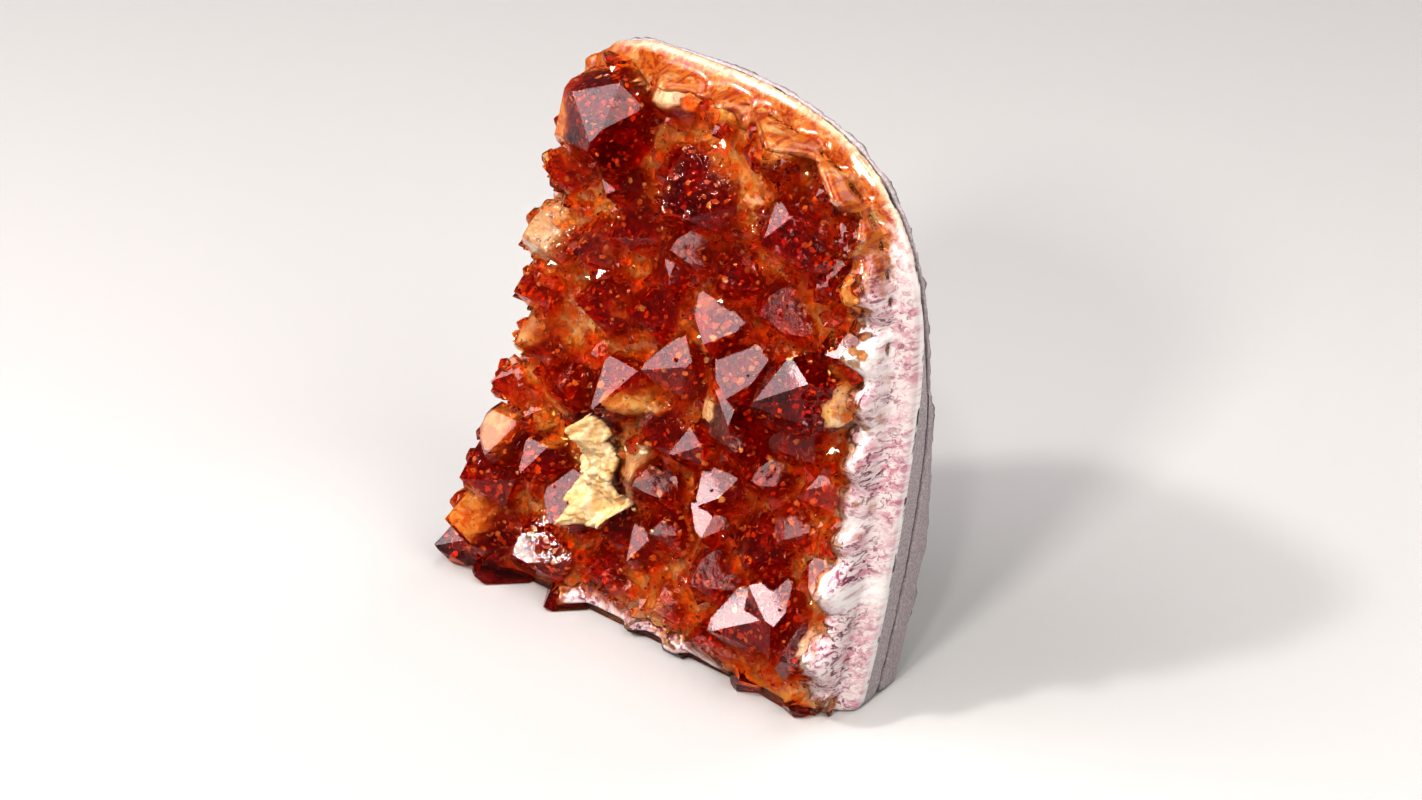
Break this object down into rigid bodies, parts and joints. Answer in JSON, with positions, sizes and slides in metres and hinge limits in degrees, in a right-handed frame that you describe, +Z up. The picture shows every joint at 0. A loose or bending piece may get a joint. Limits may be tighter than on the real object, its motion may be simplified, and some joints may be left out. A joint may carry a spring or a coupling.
{
  "type": "citrine crystal cluster",
  "caption": "Slab of citrine crystals grown on a pale quartz wall with a rock rind behind, sawn flat underneath so that it stands by itself as a display piece.",
  "frame": {"origin": "middle of the bounding box at the sawn base", "axes": "+Z up, -Y the way the crystal face looks, +X to the right of someone looking at that face"},
  "size_m": [0.0946, 0.0492, 0.1108],
  "materials": {
    "citrine": "natural crystal faces, see-through, deep orange-red where thick and golden where thin",
    "quartz": "ground and polished, white to pinkish, striped and speckled with lilac",
    "rock": "fine-grained grey-mauve rock, dull"
  },
  "bodies": {
    "root": {"citrine_crystals": "citrine", "quartz_wall": "quartz", "rock_rind": "rock"}
  },
  "joints": []
}
